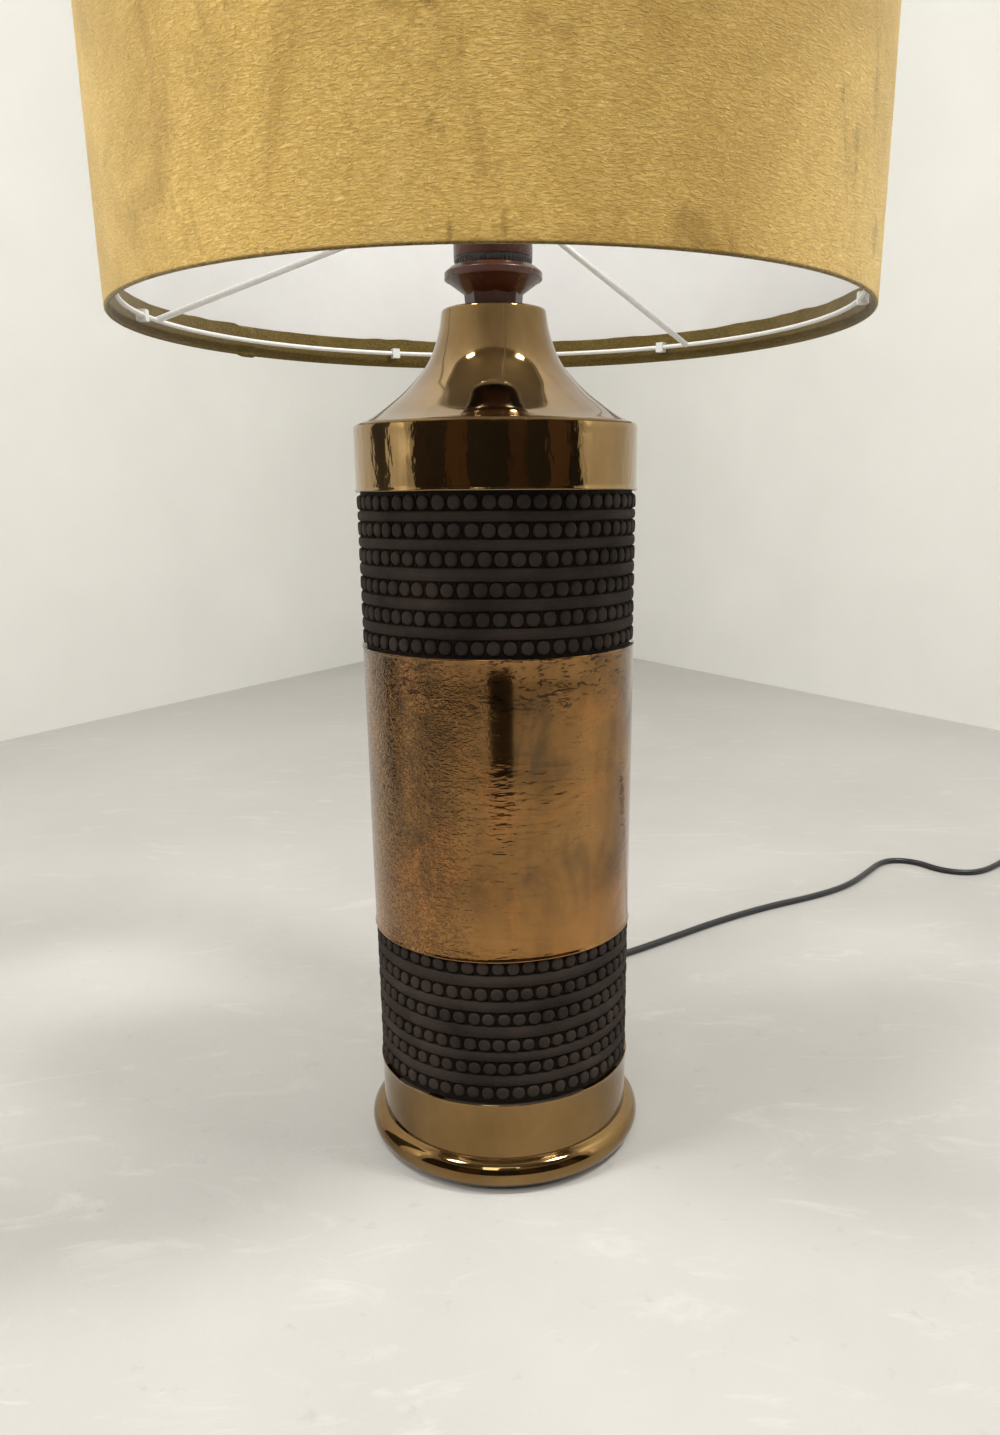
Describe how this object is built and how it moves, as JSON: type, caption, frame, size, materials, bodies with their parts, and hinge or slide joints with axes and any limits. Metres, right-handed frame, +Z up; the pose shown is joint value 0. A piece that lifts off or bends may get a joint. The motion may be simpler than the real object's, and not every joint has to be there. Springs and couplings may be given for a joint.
{
  "type": "table lamp",
  "caption": "Tall cylindrical glazed ceramic table lamp with two bands of unglazed button relief, a concave neck, a screw lampholder and a velvet drum shade",
  "frame": {"origin": "centre of the foot, on the surface that the lamp stands on", "axes": "+Z up along the body and the shade; +Y towards the rear, where the cord leaves; +X to the right"},
  "size_m": [0.9798, 0.7888, 0.7675],
  "materials": {
    "glaze": "bronze gloss glaze",
    "felt": "felt",
    "fibreboard": "pressed board",
    "black_plastic": "satin",
    "cord_jacket": "satin PVC",
    "zinc_steel": "zinc plated",
    "brown_bakelite": "polished",
    "dark_bakelite": "polished",
    "porcelain": "glazed white",
    "brass": "plain",
    "velvet": "velvet",
    "lining": "white PVC",
    "white_wire": "white powder coat",
    "white_plastic": "moulded",
    "bulb_glass": "clear",
    "bulb_cap": "plain",
    "black_glass": "black vitrite",
    "solder": "tinned",
    "tie": "soft tie"
  },
  "bodies": {
    "base": {"base_disc": "fibreboard", "base_felt": "felt", "centre_contact": "brass", "ceramic_body": "glaze", "coil_tie": "tie", "contact_block": "porcelain", "cord_coil": "cord_jacket", "cord_gland": "black_plastic", "cord_grip": "black_plastic", "gland_nut": "black_plastic", "holder_cap": "brown_bakelite", "holder_shell": "brown_bakelite", "inner_cord": "cord_jacket", "lower_shade_ring": "dark_bakelite", "mains_cord": "cord_jacket", "neck_nut": "zinc_steel", "neck_washer": "zinc_steel", "pin_sleeves": "black_plastic", "plug_body": "black_plastic", "plug_lead": "cord_jacket", "plug_pins": "brass", "plug_relief": "black_plastic", "rocker_pin": "zinc_steel", "screw_shell": "brass", "side_contact": "brass", "switch_base": "black_plastic", "switch_contacts": "brass", "switch_cover": "black_plastic", "switch_reliefs": "black_plastic", "switch_screws": "zinc_steel", "switch_to_coil_cord": "cord_jacket", "terminal_screws": "brass", "threaded_nipple": "zinc_steel"},
    "shade": {"shade_fabric": "velvet", "shade_lining": "lining", "bottom_wire_ring": "white_wire", "top_wire_ring": "white_wire", "bottom_ring_clips": "white_plastic", "top_ring_clips": "white_plastic", "fitter_ring": "white_wire", "shade_spokes": "white_wire"},
    "retaining_ring": {"upper_shade_ring": "dark_bakelite"},
    "bulb": {"bulb_glass": "bulb_glass", "bulb_contact": "solder", "bulb_insulator": "black_glass", "bulb_cap": "bulb_cap", "bulb_stem": "bulb_glass", "bulb_filament": "solder"},
    "rocker": {"switch_rocker": "black_plastic"}
  },
  "joints": [
    {"name": "shade_turn", "type": "hinge", "parent": "base", "child": "shade", "pos_m": [0, 0, 0.5465], "axis": [0, 0, 1], "continuous": true},
    {"name": "ring_turn", "type": "hinge", "parent": "base", "child": "retaining_ring", "pos_m": [0, 0, 0.5505], "axis": [0, 0, 1], "range_deg": [0, 360]},
    {"name": "bulb_turn", "type": "hinge", "parent": "base", "child": "bulb", "pos_m": [0, 0, 0.56], "axis": [0, 0, 1], "range_deg": [0, 360]},
    {"name": "rocker_tip", "type": "hinge", "parent": "base", "child": "rocker", "pos_m": [0.6652, 0.5586, 0.013], "axis": [-0.4226, 0.9063, 0], "range_deg": [0, 16]}
  ]
}
